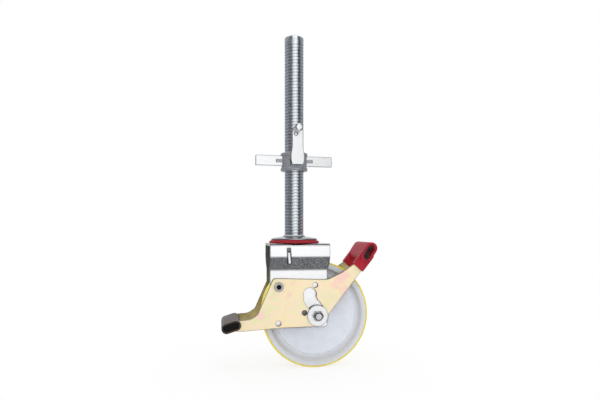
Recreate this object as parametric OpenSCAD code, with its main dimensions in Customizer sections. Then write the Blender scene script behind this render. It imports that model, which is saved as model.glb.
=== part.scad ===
// Scaffold castor with an adjusting spindle, a swivel fork, a load-centring brake and a wheel with a tyre.
// The castor rolls along X, its axle lies along Y, and Z points up along the spindle.
// Heights are worked out from the floor; the last section sets the origin on the spindle's plain end.

/* [Wheel] */
// Outside diameter of the wheel over its tread
wheel_d = 206; // [200:1:210]
// Width of the wheel
wheel_w = 50; // [40:1:56]
// Thickness of the polyurethane tread
tread_t = 3; // [2:0.5:8]
// Width of the rim ring inside the tread, on the wheel's side
rim_w = 10; // [6:0.5:14]
// Width of the groove inside the rim ring
groove_w = 12; // [8:0.5:18]
// Depth of the groove between the disc and the rim
groove_depth = 6; // [3:0.5:9]
// Depth of the flat disc under the rim
disc_depth = 3; // [1:0.5:6]
// Diameter of the wheel's hub
hub_d = 56; // [46:1:80]
// Outside diameter of a wheel bearing
bearing_d = 35; // [30:1:40]
// Bore of a wheel bearing
bearing_bore = 17; // [15:1:20]
// Width of a wheel bearing
bearing_w = 10; // [8:0.5:14]

/* [Axle] */
// Diameter of the axle bolt
axle_d = 12; // [10:0.5:13]
// Diameter of the large axle washers
axle_washer_d = 40; // [34:1:44]
// Thickness of the large axle washers
axle_washer_t = 2.5; // [1.5:0.5:4]
// Width across flats of the axle nut and of the bolt head
axle_flats = 19; // [16:1:24]
// Height of the axle lock nut
axle_nut_h = 10; // [8:0.5:14]
// Distance of the free axle behind the spindle
trail = 39; // [37:0.5:41]
// Distance of the braked axle behind the spindle
braked_trail = 1.5; // [0:0.5:3]
// Height that the braked axle gains in the fork
axle_rise = 6; // [5:0.5:7]

/* [Spindle] */
// Outside diameter of the spindle
spindle_d = 38; // [34:0.5:40]
// Pitch of the rounded thread
thread_pitch = 6; // [5:0.5:8]
// Depth of the thread
thread_depth = 1.5; // [1:0.1:2]
// Height of the spindle's top above the floor
spindle_top = 644; // [600:1:700]
// Length of the plain end that leads into the tube
plain_end = 14; // [10:1:20]
// Chamfer on the plain end
end_chamfer = 2.5; // [1:0.5:4]
// Leg of the weld round the foot of the spindle
weld_leg = 4; // [2:0.5:6]
// Height of the stop pin above the floor
stop_height = 508; // [493:1:563]
// Diameter of the stop pin
stop_d = 5; // [4:0.5:6]
// Direction of the stop pin, seen from above
stop_turn = -25; // [-40:1:-20]

/* [Swivel head] */
// Diameter of the head plate
head_d = 90; // [84:1:96]
// Thickness of the head plate
head_t = 6; // [5:0.5:8]
// Diameter of the dust seal
seal_d = 98; // [94:1:104]
// Radial width of the dust seal
seal_w = 12; // [6:1:14]
// Height of the bearing between the fork and the head plate
bearing_gap = 7; // [7:0.5:9]
// Diameter of the swivel balls
ball_d = 6; // [5:0.5:6]
// Radius of the ball circle
ball_circle = 29; // [26:1:30]
// Number of swivel balls
ball_count = 26; // [12:1:28]
// Diameter of the kingpin
kingpin_d = 20; // [16:1:22]
// Width across flats of the kingpin nut
kingpin_flats = 30; // [26:1:34]
// Height of the kingpin nut
kingpin_nut_h = 8; // [6:0.5:9]
// Diameter of the thrust washer
thrust_d = 36; // [34:1:44]
// Thickness of the thrust washer
thrust_t = 3; // [2:0.5:4]

/* [Fork] */
// Thickness of the fork's sheet
fork_t = 5; // [4:0.5:6]
// Height of the fork's crown above the floor
crown_top = 240; // [239:0.5:245]
// Width of the crown across the wheel
crown_w = 100; // [98:1:106]
// Width over the legs across the wheel
leg_w = 74; // [72:1:78]
// Height where the crown panels start to slope in
slope_top = 215; // [213:0.5:217]
// Height where the legs start
slope_foot = 189; // [187:0.5:191]
// Height of the legs' lower edge
leg_foot = 80; // [73:1:82]
// Front end of the crown, ahead of the spindle
crown_front = 52; // [50:1:56]
// Rear end of the crown, behind the spindle
crown_rear = 62; // [60:1:66]
// Front edge of the legs, ahead of the spindle
leg_front = 51; // [50:1:56]
// Rear edge of the legs, behind the spindle
leg_rear = 59; // [58:1:64]
// Radius of the legs' lower corners
leg_corner = 6; // [3:1:10]

/* [Brake] */
// Thickness of a brake plate
plate_t = 5; // [4:0.5:6]
// Distance of the brake pivot ahead of the spindle
pivot_front = 35; // [34:0.5:36]
// Height of the brake pivot above the floor
pivot_height = 158.5; // [158:0.5:159]
// Diameter of the pivot screw's shoulder
pivot_d = 12; // [10:0.5:13]
// Diameter of the pivot screw's head
pivot_head_d = 17; // [15:0.5:19]
// Height of the pivot screw's head
pivot_head_h = 4.5; // [3:0.5:6]
// Turn of the brake lever from free to locked
brake_turn = 39.5; // [38:0.5:41]
// Diameter of the plates' round holes
plate_hole_d = 10; // [8:0.5:11]
// Radius of the upper lobe of the cam opening
lobe_r = 12.6; // [12:0.1:13]

/* [Pedals] */
// Distance of the red pedal's middle from the brake pivot
red_reach = 185.4; // [176:0.2:196]
// Distance of the black pedal's middle from the brake pivot
black_reach = 114.4; // [108:0.2:124]
// Length of the pedals across the wheel
pedal_w = 94; // [92:1:100]
// Length of the red pedal's oval
red_long = 42; // [38:1:46]
// Width of the red pedal's oval
red_wide = 23; // [20:1:26]
// Wall of the red pedal
red_wall = 4.6; // [3:0.2:6]
// Length of the black pedal's oval
black_long = 37; // [33:1:40]
// Width of the black pedal's oval
black_wide = 19; // [16:1:22]
// Wall of the black pedal
black_wall = 2.6; // [2:0.2:4]
// Wall of a pedal round a brake plate's arm
sleeve_wall = 3.2; // [2:0.2:5]

/* [Lock shoe] */
// Lift of the lock shoe from free to locked
shoe_lift = 7; // [6.5:0.5:7]
// Clearance of the shoe over the braked tyre
shoe_gap = 0.5; // [0.3:0.1:1]
// Thickness of the lock shoe
shoe_t = 7; // [5:0.5:8]
// Width of the lock shoe across the wheel
shoe_w = 58; // [50:1:60]
// Distance of the shoe's tongues ahead of the spindle
tongue_front = 16; // [14:0.5:18]
// Width of a tongue along the fork
tongue_t = 5; // [4:0.5:5]
// Width of the slots for the tongues
slot_w = 7; // [6.5:0.5:8]
// Tilt of the slots
slot_tilt = 4; // [3:1:5]
// Diameter of the shoe's return springs
shoe_spring_d = 8; // [6:0.5:8]

/* [Adjusting nut] */
// Height of the nut's underside above the floor
nut_foot = 381; // [379:1:403]
// Height of the nut's hub
nut_h = 35; // [33:1:40]
// Diameter of the nut's end flanges
nut_d = 53; // [51:0.5:54]
// Diameter of the nut's waist
waist_d = 49.5; // [48:0.5:50]
// Height of an end flange of the nut
flange_h = 6; // [5:0.5:8]
// Length over both wings
wing_span = 153; // [140:1:170]
// Height of a wing
wing_h = 20; // [16:1:22]
// Thickness of a wing
wing_t = 8; // [6:0.5:10]
// Turn of the nut at rest, seen from above
nut_turn = 5; // [-10:1:20]

/* [Latch] */
// Height of the latch plate's lower end above the nut's underside
latch_foot = 10; // [9.5:0.5:11]
// Length of the latch plate
latch_len = 74; // [70:1:90]
// Width of the latch plate at the nut
latch_w = 26; // [25:0.5:27]
// Width of the latch plate at its top
latch_top_w = 21; // [19:0.5:23]
// Thickness of the latch plate
latch_t = 4; // [3:0.5:5]
// Diameter of the plunger's knob
knob_d = 15; // [12:0.5:17]
// Diameter of the plunger's pin
plunger_d = 8; // [6:0.5:9]
// Diameter of the plunger's bush
bush_d = 13; // [12:0.5:14]

/* [Hidden] */
$fn = 72;

// Clearances: face to face on other bodies, round running fits, and cuts through a face
free_gap = 0.3;
run_gap = 0.06;
ball_gap = 0.1;
seat_gap = 0.02;
over = 1;
corner_steps = 5;

zinc = "gainsboro";
yellow_zinc = "wheat";

// Heights of the stack from the wheel to the spindle
wheel_r = wheel_d / 2;
head_foot = crown_top + bearing_gap;
head_top = head_foot + head_t;
crown_foot = crown_top - fork_t;
mount_height = spindle_top - end_chamfer - (plain_end - end_chamfer) / 2;

// Places across the wheel, from the middle outwards
leg_out = leg_w / 2;
leg_in = leg_out - fork_t;
plate_in = leg_out + free_gap;
plate_out = plate_in + plate_t;
washer_in = plate_out + free_gap;
washer_out = washer_in + axle_washer_t;

// The two ends of the axle's path, and the brake pivot, as [x, z]
axle_free = [trail, wheel_r];
axle_braked = [braked_trail, wheel_r + axle_rise];
pivot = [-pivot_front, pivot_height];

function turned(p, a) = [p[0] * cos(a) - p[1] * sin(a), p[0] * sin(a) + p[1] * cos(a)];
function unit(v) = v / norm(v);

// A closed outline with its corners rounded: each point is [x, y, radius]
function corner(a, b, c) =
    let (
        p = [b[0], b[1]],
        u = unit([a[0], a[1]] - p),
        v = unit([c[0], c[1]] - p),
        half = acos(max(-1, min(1, u * v))) / 2,
        middle = p + unit(u + v) * b[2] / sin(half),
        from = p + u * b[2] / tan(half) - middle,
        side = cross(from, p + v * b[2] / tan(half) - middle) > 0 ? 1 : -1,
        sweep = side * (180 - 2 * half)
    )
    b[2] <= 0 ? [p] : [for (i = [0 : corner_steps]) middle + turned(from, sweep * i / corner_steps)];

function rounded(points) =
    let (n = len(points))
    [for (i = [0 : n - 1]) each corner(points[(i + n - 1) % n], points[i], points[(i + 1) % n])];

// A solid drawn as an outline in the X-Z plane, from y = from to y = to
module across(from, to) {
    translate([0, to, 0])
        rotate([90, 0, 0])
            linear_extrude(height = to - from)
                children();
}

// A round bar along Y at [x, z]
module bar(p, r, from, to) {
    translate([p[0], to, p[1]])
        rotate([90, 0, 0])
            cylinder(h = to - from, r = r);
}

module ring(r_out, r_in, h) {
    difference() {
        cylinder(h = h, r = r_out);
        translate([0, 0, -over])
            cylinder(h = h + 2 * over, r = r_in);
    }
}

module hexagon_bar(flats, h) {
    cylinder(h = h, r = flats / sqrt(3), $fn = 6);
}

module both_sides() {
    children();
    mirror([0, 1, 0])
        children();
}

// A long hole with round ends between two points, along Y
module slot_between(a, b, r, from, to) {
    run = b - a;
    end = norm(run) + r;
    arc = r - 0.01;
    translate([a[0], 0, a[1]])
        rotate([0, -atan2(run[1], run[0]), 0])
            across(from, to)
                polygon(rounded([[-r, -r, arc], [end, -r, arc], [end, r, arc], [-r, r, arc]]));
}

// A coil spring along Z with closed ends, swept as one skin
coil_sides = 8;
coil_steps = 10;
function coil_ring(turn, z, r, wire) = [
    for (k = [0 : coil_sides - 1])
        let (
            a = turn * 360,
            b = k * 360 / coil_sides,
            reach = r + wire * cos(b)
        )
        [reach * cos(a), reach * sin(a), z + wire * sin(b)]
];
module coil(r, wire, turns, h) {
    rings = turns * coil_steps;
    points = [
        for (i = [0 : rings])
            each coil_ring(i / coil_steps, wire + (h - 2 * wire) * i / rings, r, wire)
    ];
    sides = [
        for (i = [0 : rings - 1], k = [0 : coil_sides - 1])
            let (
                a = i * coil_sides + k,
                b = i * coil_sides + (k + 1) % coil_sides
            )
            each [[a, b + coil_sides, b], [a, a + coil_sides, b + coil_sides]]
    ];
    first = [for (k = [0 : coil_sides - 1]) k];
    last = [for (k = [0 : coil_sides - 1]) (rings + 1) * coil_sides - 1 - k];
    polyhedron(points = points, faces = concat([first], sides, [last]));
}

// Spindle: a rounded thread drawn as one turned profile, with a plain lead-in end
thread_top = spindle_top - plain_end;
spindle_r = spindle_d / 2;
crest_r = spindle_r - free_gap;
thread_root = spindle_r - thread_depth;
turn_count = floor((thread_top - head_top - weld_leg - 2) / thread_pitch);
thread_foot = thread_top - turn_count * thread_pitch;

module spindle() {
    valley = [
        [0, crest_r], [0.2, crest_r], [0.38, thread_root + thread_depth * 0.15],
        [0.5, thread_root], [0.62, thread_root + thread_depth * 0.15], [0.8, crest_r]
    ];
    color(zinc)
        difference() {
            rotate_extrude()
                polygon(concat(
                    [[0, head_top], [crest_r, head_top]],
                    [for (i = [0 : turn_count - 1], v = valley) [v[1], thread_foot + (i + v[0]) * thread_pitch]],
                    [
                        [crest_r, thread_top], [spindle_r, thread_top], [spindle_r, spindle_top - end_chamfer],
                        [spindle_r - end_chamfer, spindle_top], [0, spindle_top]
                    ]
                ));
            stop_bar(stop_d / 2 + seat_gap, spindle_d);
        }
}

// The stop pin crosses the spindle and keeps the nut from running off the top
stop_reach = spindle_r + 1.4;
module stop_bar(r, reach) {
    translate([0, 0, stop_height])
        rotate([0, 0, stop_turn])
            rotate([90, 0, 0])
                cylinder(h = 2 * reach, r = r, center = true);
}
module stop_pin() {
    color("white")
        stop_bar(stop_d / 2, stop_reach);
}

module head_plate() {
    color(zinc)
        difference() {
            rotate_extrude()
                polygon([
                    [kingpin_d / 2 + seat_gap, head_foot], [head_d / 2, head_foot],
                    [head_d / 2, head_top - 1.5], [head_d / 2 - 1.5, head_top],
                    [kingpin_d / 2 + seat_gap, head_top]
                ]);
            race_groove();
        }
}

module spindle_weld() {
    foot_r = crest_r + seat_gap;
    color(zinc)
        rotate_extrude()
            polygon([[foot_r, head_top], [foot_r + weld_leg, head_top], [foot_r, head_top + weld_leg]]);
}

// Swivel bearing: two rings with a ball groove, a seal round them and the kingpin through them
race_t = 2;
race_w = 12;
upper_race_foot = head_foot - race_t;
lower_race_top = crown_top + race_t;
ball_height = (lower_race_top + upper_race_foot) / 2;
ball_r = ball_d / 2;

module race_groove() {
    translate([0, 0, ball_height])
        rotate_extrude()
            translate([ball_circle, 0])
                circle(r = ball_r + ball_gap);
}
module race(foot) {
    color("silver")
        difference() {
            translate([0, 0, foot])
                ring(ball_circle + race_w / 2, ball_circle - race_w / 2, race_t);
            race_groove();
        }
}
module upper_race() {
    race(upper_race_foot);
}
module lower_race() {
    race(crown_top);
}
module swivel_balls() {
    color("silver")
        for (i = [0 : ball_count - 1])
            rotate([0, 0, i * 360 / ball_count])
                translate([ball_circle, 0, ball_height])
                    sphere(r = ball_r, $fn = 32);
}

// The seal is a red ring on the head plate, with a lip that stops just over the crown
module dust_seal() {
    lip = 2;
    r = seal_d / 2;
    foot = crown_top + free_gap;
    inner = head_d / 2 + seat_gap;
    color("crimson")
        rotate_extrude()
            polygon([
                [inner, foot], [r - 1, foot], [r, foot + 1], [r, head_foot - 1],
                [r - 1, head_foot], [inner, head_foot + lip], [inner, head_foot],
                [r - seal_w, head_foot], [r - seal_w, head_foot - lip], [inner, head_foot - lip]
            ]);
}

thrust_top = crown_foot - free_gap;
thrust_foot = thrust_top - thrust_t;
kingpin_foot = thrust_foot - kingpin_nut_h;

module kingpin() {
    color("silver")
        translate([0, 0, kingpin_foot])
            cylinder(h = head_top - kingpin_foot, r = kingpin_d / 2);
}
module thrust_washer() {
    color("silver")
        translate([0, 0, thrust_foot])
            ring(thrust_d / 2, kingpin_d / 2 + seat_gap, thrust_t);
}
module kingpin_nut() {
    color("silver")
        difference() {
            translate([0, 0, kingpin_foot])
                hexagon_bar(kingpin_flats, kingpin_nut_h);
            translate([0, 0, kingpin_foot - over])
                cylinder(h = kingpin_nut_h + 2 * over, r = kingpin_d / 2 + seat_gap);
        }
}

// Fork: one bent sheet, drawn as its section across the wheel and trimmed to its outline from the side
slope_lean = atan2((crown_w - leg_w) / 2, slope_top - slope_foot);
miter = fork_t * tan(slope_lean / 2);
bend_in = 3;
bend_out = bend_in + fork_t;

// Half of the section, from the crown to the leg's foot, at depth d under the outside
function fork_side(d, tight, wide) = [
    [crown_w / 2 - d, crown_top - d, tight],
    [crown_w / 2 - d, slope_top + d * miter / fork_t, tight],
    [leg_out - d, slope_foot + d * miter / fork_t, wide],
    [leg_out - d, leg_foot - over, 0]
];
function mirrored(points) = [for (i = [len(points) - 1 : -1 : 0]) [-points[i][0], points[i][1], points[i][2]]];

module fork_blank() {
    outside = fork_side(0, bend_out, bend_in);
    inside = fork_side(fork_t, bend_in, bend_out);
    near = concat(mirrored(outside), outside);
    far = concat(mirrored(inside), inside);
    loop = concat(near, [for (i = [len(far) - 1 : -1 : 0]) far[i]]);
    translate([-crown_front - over, 0, 0])
        rotate([90, 0, 90])
            linear_extrude(height = crown_front + crown_rear + 2 * over)
                polygon(rounded(loop));
}

module fork() {
    slope_middle = (slope_top + slope_foot) / 2;
    outline = rounded([
        [-crown_front, crown_top + over, 0], [crown_rear, crown_top + over, 0],
        [crown_rear, slope_middle, 4], [leg_rear, slope_foot, 8],
        [leg_rear, leg_foot, leg_corner], [-leg_front, leg_foot, leg_corner],
        [-leg_front, slope_foot, 8], [-crown_front, slope_middle, 4]
    ]);
    color(zinc)
        difference() {
            intersection() {
                fork_blank();
                across(-crown_w, crown_w)
                    polygon(outline);
            }
            translate([0, 0, crown_foot - over])
                cylinder(h = fork_t + 2 * over, r = kingpin_d / 2 + run_gap);
            slot_between(axle_free, axle_braked, axle_d / 2 + free_gap, -crown_w, crown_w);
            bar(pivot, pivot_thread_r + seat_gap, -crown_w, crown_w);
            both_sides()
                tongue_slot();
        }
}

// The tongue slots start in the crown panels and run down through the sloping band
tongue_foot = 202;
tongue_h = 22;
slot_foot = tongue_foot - 1;
slot_head = tongue_foot + tongue_h + shoe_lift + 1;
tongue_lead = ((slot_foot + slot_head - shoe_lift) / 2 - tongue_foot) * tan(slot_tilt);
module tongue_slot() {
    middle = (slot_foot + slot_head) / 2;
    length = slot_head - slot_foot;
    translate([-tongue_front, -crown_w, middle])
        rotate([0, -slot_tilt, 0])
            translate([-slot_w / 2, 0, -length / 2])
                cube([slot_w, crown_w - leg_in + 4, length]);
}

pivot_thread_r = pivot_d / 2 - 1;
module pivot_screws() {
    socket_flats = 8;
    socket_depth = 3;
    head_in = plate_out + free_gap;
    head_out = head_in + pivot_head_h;
    color("silver")
        both_sides()
            difference() {
                union() {
                    bar(pivot, pivot_head_d / 2, -head_out, -head_in);
                    bar(pivot, pivot_d / 2, -head_in, -leg_out);
                    bar(pivot, pivot_thread_r, -leg_out, -leg_in);
                }
                translate([pivot[0], -head_out + socket_depth, pivot[1]])
                    rotate([90, 0, 0])
                        hexagon_bar(socket_flats, socket_depth + over);
            }
}

// Lock shoe: its underside is an arc just over the braked tyre, and its tongues slide in the slots
shoe_front = 30;
shoe_rear = 6;
arc_r = wheel_r + shoe_gap;
arc_middle = [axle_braked[0], axle_braked[1] - shoe_lift];
shoe_top = arc_middle[1] + arc_r + shoe_t;
module lock_shoe() {
    tongue_out = crown_w / 2 + 1;
    tongue_in = shoe_w / 2 - 8;
    color("silver")
        difference() {
            union() {
                translate([-shoe_front, -shoe_w / 2, arc_middle[1]])
                    cube([shoe_front + shoe_rear, shoe_w, shoe_top - arc_middle[1]]);
                both_sides()
                    translate([tongue_lead - tongue_front - tongue_t / 2, tongue_in, tongue_foot])
                        tongue(tongue_out - tongue_in);
            }
            bar(arc_middle, arc_r, -shoe_w / 2 - free_gap, shoe_w / 2 + free_gap);
        }
}
module tongue(length) {
    crest = tongue_t / 2 - 0.2;
    rotate([0, -slot_tilt, 0])
        across(0, length)
            polygon(rounded([[0, 0, 0], [tongue_t, 0, 0], [tongue_t, tongue_h, crest], [0, tongue_h, crest]]));
}

shoe_spring_h = crown_foot - shoe_top - 2 * seat_gap;
module shoe_springs() {
    wire = 0.8;
    color("silver")
        both_sides()
            translate([-shoe_front + shoe_spring_d / 2 + 0.5, shoe_w / 2 - shoe_spring_d / 2 - 1, shoe_top + seat_gap])
                coil(shoe_spring_d / 2 - wire, wire, 5, shoe_spring_h);
}

// Brake plates: one outline for both, laid out from the pivot. Each point is [x, z, radius] at the drawn
// distance from the pivot to the free axle, and grows with that distance; the arms' ends follow the pedals.
drawn_axle_reach = 92.5;
plate_scale = norm(axle_free - pivot) / drawn_axle_reach;
red_way = unit([174, 64]);
black_way = unit([-88.5, -72.5]);
red_more = red_reach - norm([174, 64]) * plate_scale;
black_more = black_reach - norm([88.5, 72.5]) * plate_scale;
function drawn(points) = [for (p = points) p * plate_scale];
function moved(points, way) = [for (p = drawn(points)) [p[0] + way[0], p[1] + way[1], p[2]]];
plate_outline = concat(
    drawn([[-10, 16.3, 8], [94, 12.5, 30], [122, 26, 60]]),
    moved([[146, 42, 0], [158, 50, 4], [169, 40, 4], [158, 26, 0]], red_way * red_more),
    drawn([[93, -57, 3], [78, -76, 10], [4, -77.2, 40], [-69, -81.8, 0]]),
    moved([[-92, -80, 4], [-92, -66, 4]], black_way * black_more),
    drawn([[-71, -61, 0], [-53, -60, 24], [-39.5, -51, 10]])
);

// The axle as the turning plates see it, from free (0) to locked (1)
function axle_at(share) = axle_free + (axle_braked - axle_free) * share;
function seen_from_plate(share) = turned(axle_at(share) - pivot, brake_turn * share);
lobe = seen_from_plate(1);

module cam_opening(from, to) {
    path_r = axle_d / 2 + free_gap + 0.15;
    steps = 14;
    opening = rounded(concat(
        [[lobe[0] - lobe_r + 0.3, lobe[1], 2], [lobe[0] - lobe_r + 0.9, -27 * plate_scale, 12]],
        drawn([
            [51.5, -35, 10], [59.5, -45, 8], [66, -63, 8], [82, -63, 8], [88.5, -48, 6],
            [84, -37, 6], [77.5, -28.5, 4], [70.5, -25, 2]
        ]),
        [[lobe[0] + 4, lobe[1] + 1, 2]]
    ));
    bar(lobe, lobe_r, from, to);
    across(from, to)
        polygon(opening);
    for (i = [0 : steps])
        bar(seen_from_plate(i / steps), path_r, from, to);
}

module brake_plate(from, to) {
    holes = drawn([[-0.6, -68.7], [69.8, 2.4], [49.1, -49.8]]);
    color(yellow_zinc)
        translate([pivot[0], 0, pivot[1]])
            difference() {
                across(from, to)
                    polygon(rounded(plate_outline));
                bar([0, 0], pivot_d / 2 + run_gap, from - over, to + over);
                for (p = holes)
                    bar(p, plate_hole_d / 2, from - over, to + over);
                cam_opening(from - over, to + over);
            }
}
module brake_plate_near() {
    brake_plate(-plate_out, -plate_in);
}
module brake_plate_far() {
    brake_plate(plate_in, plate_out);
}

// Pedals: oval tubes across the wheel, moulded round the ends of the plates' arms
function oval(long, wide) = rounded([
    [-long / 2, -wide / 2, wide / 2 - 0.1], [long / 2, -wide / 2, wide / 2 - 0.1],
    [long / 2, wide / 2, wide / 2 - 0.1], [-long / 2, wide / 2, wide / 2 - 0.1]
]);

module arms(grow) {
    translate([pivot[0], 0, pivot[1]])
        both_sides()
            across(-plate_out - grow, -plate_in + grow)
                polygon(rounded(plate_outline));
}

module red_pedal() {
    middle = pivot + red_way * red_reach;
    lean = -58;
    half = pedal_w / 2;
    sleeve_drawn_long = 42;
    sleeve = rounded([
        for (p = [[-30.4, -21.3, 2], [-12.2, -37.5, 2], [13, -5.5, 6], [-9, 6.5, 6]])
            p * red_long / sleeve_drawn_long
    ]);
    color("crimson")
        difference() {
            union() {
                translate([middle[0], 0, middle[1]])
                    rotate([0, lean, 0])
                        across(-half, half)
                            polygon(oval(red_long, red_wide));
                both_sides()
                    translate([middle[0], 0, middle[1]])
                        across(-plate_out - sleeve_wall, -plate_in + sleeve_wall)
                            polygon(sleeve);
            }
            translate([middle[0], 0, middle[1]])
                rotate([0, lean, 0])
                    across(-half - over, half + over)
                        polygon(oval(red_long - 2 * red_wall, red_wide - 2 * red_wall));
            arms(seat_gap);
        }
}

// The black pedal has a block inside it round each arm, with a shallow recess outside it
module black_pedal() {
    middle = pivot + black_way * black_reach;
    lean = -17;
    half = pedal_w / 2;
    skin = 1.4;
    inside = oval(black_long - 2 * black_wall, black_wide - 2 * black_wall);
    block_out = plate_out + skin;
    block_in = plate_in - sleeve_wall;
    color("dimgray")
        difference() {
            translate([middle[0], 0, middle[1]])
                rotate([0, lean, 0])
                    difference() {
                        across(-half, half)
                            polygon(oval(black_long, black_wide));
                        across(-block_in, block_in)
                            polygon(inside);
                        both_sides()
                            across(-half - over, -block_out)
                                polygon(inside);
                    }
            arms(seat_gap);
        }
}

// Axle: bolt from the far side, large washers over both cam openings, lock nut on the near side
bolt_near = washer_out + axle_nut_h + 1;
module axle_bolt() {
    head_h = 7.5;
    color("silver") {
        bar(axle_free, axle_d / 2, -bolt_near, washer_out);
        translate([axle_free[0], washer_out + head_h, axle_free[1]])
            rotate([90, 0, 0])
                hexagon_bar(axle_flats, head_h);
    }
}
module axle_washers() {
    color(zinc)
        both_sides()
            difference() {
                bar(axle_free, axle_washer_d / 2, washer_in, washer_out);
                bar(axle_free, axle_d / 2 + seat_gap, washer_in - over, washer_out + over);
            }
}
module axle_nut() {
    color("silver")
        difference() {
            translate([axle_free[0], -washer_out, axle_free[1]])
                rotate([90, 0, 0])
                    hexagon_bar(axle_flats, axle_nut_h);
            bar(axle_free, axle_d / 2 + seat_gap, -washer_out - axle_nut_h - over, -washer_out + over);
        }
}
module bearing_spacer() {
    half = leg_in - free_gap;
    color("silver")
        difference() {
            bar(axle_free, bearing_bore / 2 - run_gap, -half, half);
            bar(axle_free, axle_d / 2 + seat_gap, -half - over, half + over);
        }
}

// Wheel: everything is turned about the axle
hub_half = leg_in - 1.5;
rim_r = wheel_r - tread_t - rim_w;
disc_r = rim_r - groove_w;
module about_axle() {
    translate([axle_free[0], 0, axle_free[1]])
        rotate([90, 0, 0])
            children();
}
module wheel_bearings() {
    color("silver")
        about_axle()
            for (side = [-1, 1])
                translate([0, 0, side * (hub_half - 1 - bearing_w / 2) - bearing_w / 2])
                    ring(bearing_d / 2, bearing_bore / 2, bearing_w);
}
module wheel_centre() {
    half = wheel_w / 2;
    seat = hub_half - 1 - bearing_w;
    bearing_r = bearing_d / 2 + seat_gap;
    core_r = bearing_bore / 2 + 2;
    side = [
        [core_r, seat], [bearing_r, seat], [bearing_r, hub_half], [hub_d / 2 - 1, hub_half],
        [hub_d / 2, hub_half - 1], [hub_d / 2 + 2, half - disc_depth],
        [disc_r - 1, half - disc_depth], [disc_r, half - disc_depth - 1],
        [disc_r + 1, half - groove_depth], [rim_r - 3, half - groove_depth],
        [rim_r, half - 1], [rim_r + 1, half], [wheel_r - tread_t - 1, half],
        [wheel_r - tread_t, half - 1]
    ];
    color("aliceblue")
        about_axle()
            rotate_extrude($fn = 180)
                polygon(concat(side, [for (i = [len(side) - 1 : -1 : 0]) [side[i][0], -side[i][1]]]));
}
module tread() {
    half = wheel_w / 2;
    shoulder = 1.6;
    foot = wheel_r - tread_t + seat_gap;
    color("gold")
        about_axle()
            rotate_extrude($fn = 180)
                polygon([
                    [foot, -half + 1], [foot + 1, -half], [wheel_r - shoulder, -half],
                    [wheel_r - shoulder * 0.3, -half + shoulder * 0.4], [wheel_r, -half + shoulder * 1.4],
                    [wheel_r, half - shoulder * 1.4], [wheel_r - shoulder * 0.3, half - shoulder * 0.4],
                    [wheel_r - shoulder, half], [foot + 1, half], [foot, half - 1]
                ]);
}

// Adjusting nut: the hub, with the latch in front and the wings at its sides, in the nut's own frame
nut_bore_r = spindle_r + free_gap;
hinge_h = 13.5;
hinge_y = nut_d / 2 - 2.5;
hinge_pin_r = 1.5;
lug_half = 7;
lug_r = 3;
ear_t = 4;
pocket_wall = 1.4;
latch_in = hinge_y + lug_r + free_gap;
latch_out = latch_in + latch_t;
module nut_frame() {
    rotate([0, 0, nut_turn])
        translate([0, 0, nut_foot])
            children();
}
module hinge_bar(r, half) {
    translate([0, -hinge_y, hinge_h])
        rotate([0, 90, 0])
            cylinder(h = 2 * half, r = r, center = true);
}

wing_foot = 10;
module adjusting_nut() {
    edge = 1.5;
    rib_h = 6;
    rib_len = 14;
    pocket_half = lug_half + ear_t + 1.2;
    color("slategray")
        nut_frame()
            difference() {
                union() {
                    difference() {
                        nut_hub(edge);
                        translate([-pocket_half, -nut_d, 4])
                            cube([2 * pocket_half, nut_d - nut_bore_r - pocket_wall, hinge_h + 4]);
                    }
                    hinge_lug();
                    for (side = [-1, 1])
                        scale_side(side)
                            translate([waist_d / 2 - 2, -wing_t / 2 - 2.5, wing_foot + (wing_h - rib_h) / 2])
                                cube([rib_len, wing_t + 5, rib_h]);
                }
                for (side = [-1, 1])
                    scale_side(side)
                        translate([waist_d / 2 - 1, -wing_t / 2 - seat_gap, wing_foot - seat_gap])
                            cube([wing_span, wing_t + 2 * seat_gap, wing_h + 2 * seat_gap]);
                hinge_bar(hinge_pin_r + seat_gap, pocket_half);
            }
}
module scale_side(side) {
    mirror([side < 0 ? 1 : 0, 0, 0])
        children();
}
module hinge_lug() {
    hinge_bar(lug_r, lug_half);
    translate([-lug_half, -hinge_y, hinge_h - lug_r])
        cube([2 * lug_half, hinge_y - nut_bore_r - pocket_wall / 2, 2 * lug_r]);
}
module nut_hub(edge) {
    rotate_extrude()
        polygon([
            [nut_bore_r + 1, 0], [nut_d / 2 - edge, 0], [nut_d / 2, edge],
            [nut_d / 2, flange_h - edge], [waist_d / 2, flange_h + edge],
            [waist_d / 2, nut_h - flange_h - edge], [nut_d / 2, nut_h - flange_h + edge],
            [nut_d / 2, nut_h - edge], [nut_d / 2 - edge, nut_h], [nut_bore_r + 1, nut_h],
            [nut_bore_r, nut_h - 1], [nut_bore_r, 1]
        ]);
}

module nut_wings() {
    start = waist_d / 2 - 1 + seat_gap;
    color(zinc)
        nut_frame()
            for (side = [-1, 1])
                scale_side(side)
                    translate([0, wing_t / 2, wing_foot])
                        rotate([90, 0, 0])
                            linear_extrude(height = wing_t)
                                polygon(rounded([
                                    [start, 0, 0], [wing_span / 2, 0, 1.5],
                                    [wing_span / 2, wing_h, 1.5], [start, wing_h, 0]
                                ]));
}

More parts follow.
